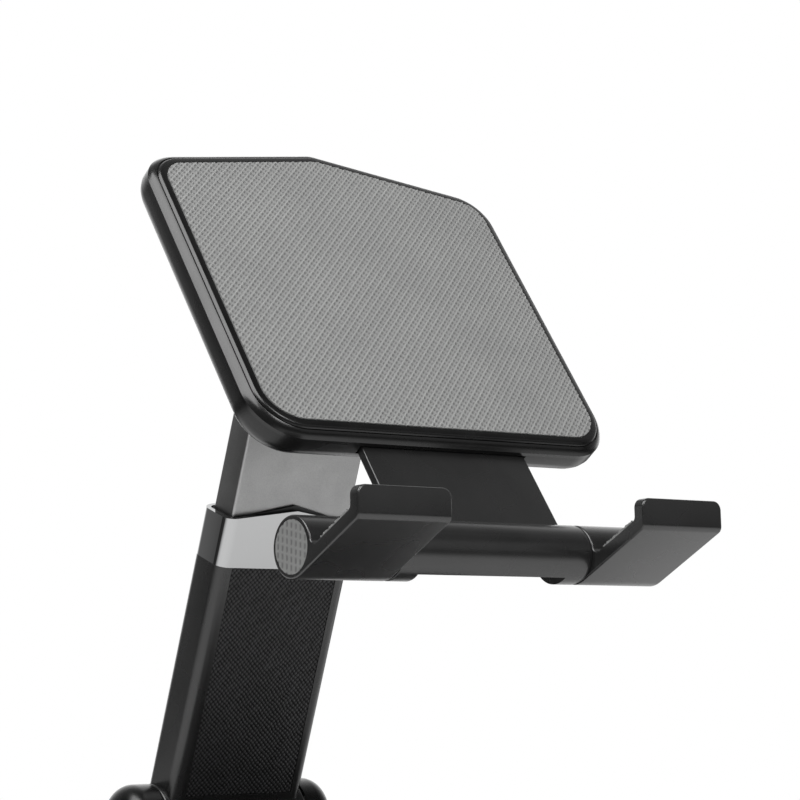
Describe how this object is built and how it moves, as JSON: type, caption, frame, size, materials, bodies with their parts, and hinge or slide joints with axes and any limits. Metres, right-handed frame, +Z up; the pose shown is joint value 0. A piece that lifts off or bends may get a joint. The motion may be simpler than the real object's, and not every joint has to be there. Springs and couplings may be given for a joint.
{
  "type": "tablet stand",
  "caption": "Desk tablet stand: weighted base, folding telescopic arm, tilting padded holder with a peaked top, sliding neck and cross bar with two folding hooks.",
  "frame": {"origin": "centre of the foot pad's underside, on the table", "axes": "+X to the user's right, +Y away from the user, +Z up"},
  "size_m": [0.108, 0.1496, 0.194],
  "materials": {
    "black_housing": "satin moulded black, fine spark texture",
    "black_gloss": "glossy moulded black",
    "black_metal": "satin black powder coat",
    "black_grain": "black cross-hatched grain",
    "grey_silicone": "matt grey, fine raised texture",
    "foot_rubber": "matt",
    "silver_aluminium": "fine bead-blasted, anodised",
    "chrome": "polished",
    "steel": "machined",
    "weight_iron": "zinc washed",
    "slide_plastic": "low-friction nylon"
  },
  "bodies": {
    "base": {"base_housing": "black_housing", "base_cover": "black_housing", "base_cover_screws": "steel", "base_foot_pad": "foot_rubber", "base_weight": "weight_iron", "base_top_panel": "black_grain", "right_hinge_ear": "black_housing", "left_hinge_ear": "black_housing", "hinge_ear_screws": "steel", "base_hinge_shaft": "steel", "base_hinge_washers": "steel"},
    "lower_arm": {"lower_knuckle": "black_metal", "knuckle_screws": "steel", "outer_tube": "black_metal", "arm_texture_strip": "black_grain", "collar": "chrome", "collar_liner": "slide_plastic"},
    "inner_arm": {"inner_tube": "silver_aluminium", "slider_block": "slide_plastic", "friction_spring": "steel", "head_knuckle": "black_metal", "head_knuckle_screws": "steel"},
    "holder": {"holder_bezel": "black_gloss", "holder_back": "black_housing", "holder_pad": "grey_silicone", "holder_screws": "steel", "neck_rails": "slide_plastic", "neck_spring": "steel", "hinge_bracket": "black_metal", "bracket_screws": "steel", "holder_hinge_pin": "steel", "holder_hinge_washers": "steel", "holder_hinge_nut": "steel"},
    "neck": {"neck_plate": "black_metal", "neck_stop": "black_metal", "neck_pins": "steel", "cross_bar": "black_metal", "bar_rings": "slide_plastic"},
    "hooks": {"hook_shaft": "steel", "hook_set_screws": "steel", "right_hook": "black_metal", "left_hook": "black_metal", "right_hook_grip": "grey_silicone", "left_hook_grip": "grey_silicone", "right_end_disc": "grey_silicone", "left_end_disc": "grey_silicone"}
  },
  "joints": [
    {"name": "arm_tilt", "type": "hinge", "parent": "base", "child": "lower_arm", "pos_m": [0, 0.046, 0.0245], "axis": [-1, 0, 0], "range_deg": [-30, 20]},
    {"name": "arm_extension", "type": "slide", "parent": "lower_arm", "child": "inner_arm", "axis": [0, -0.3387, 0.9409], "range_m": [-0.03, 0.016]},
    {"name": "holder_tilt", "type": "hinge", "parent": "inner_arm", "child": "holder", "pos_m": [0, 0.00061, 0.15058], "axis": [-1, 0, 0], "range_deg": [-54, 45]},
    {"name": "neck_slide", "type": "slide", "parent": "holder", "child": "neck", "axis": [0, -0.5948, -0.8039], "range_m": [-0.018, 0.012]},
    {"name": "hook_fold", "type": "hinge", "parent": "neck", "child": "hooks", "pos_m": [0, -0.06225, 0.09085], "axis": [1, 0, 0], "range_deg": [-72, 0]}
  ]
}
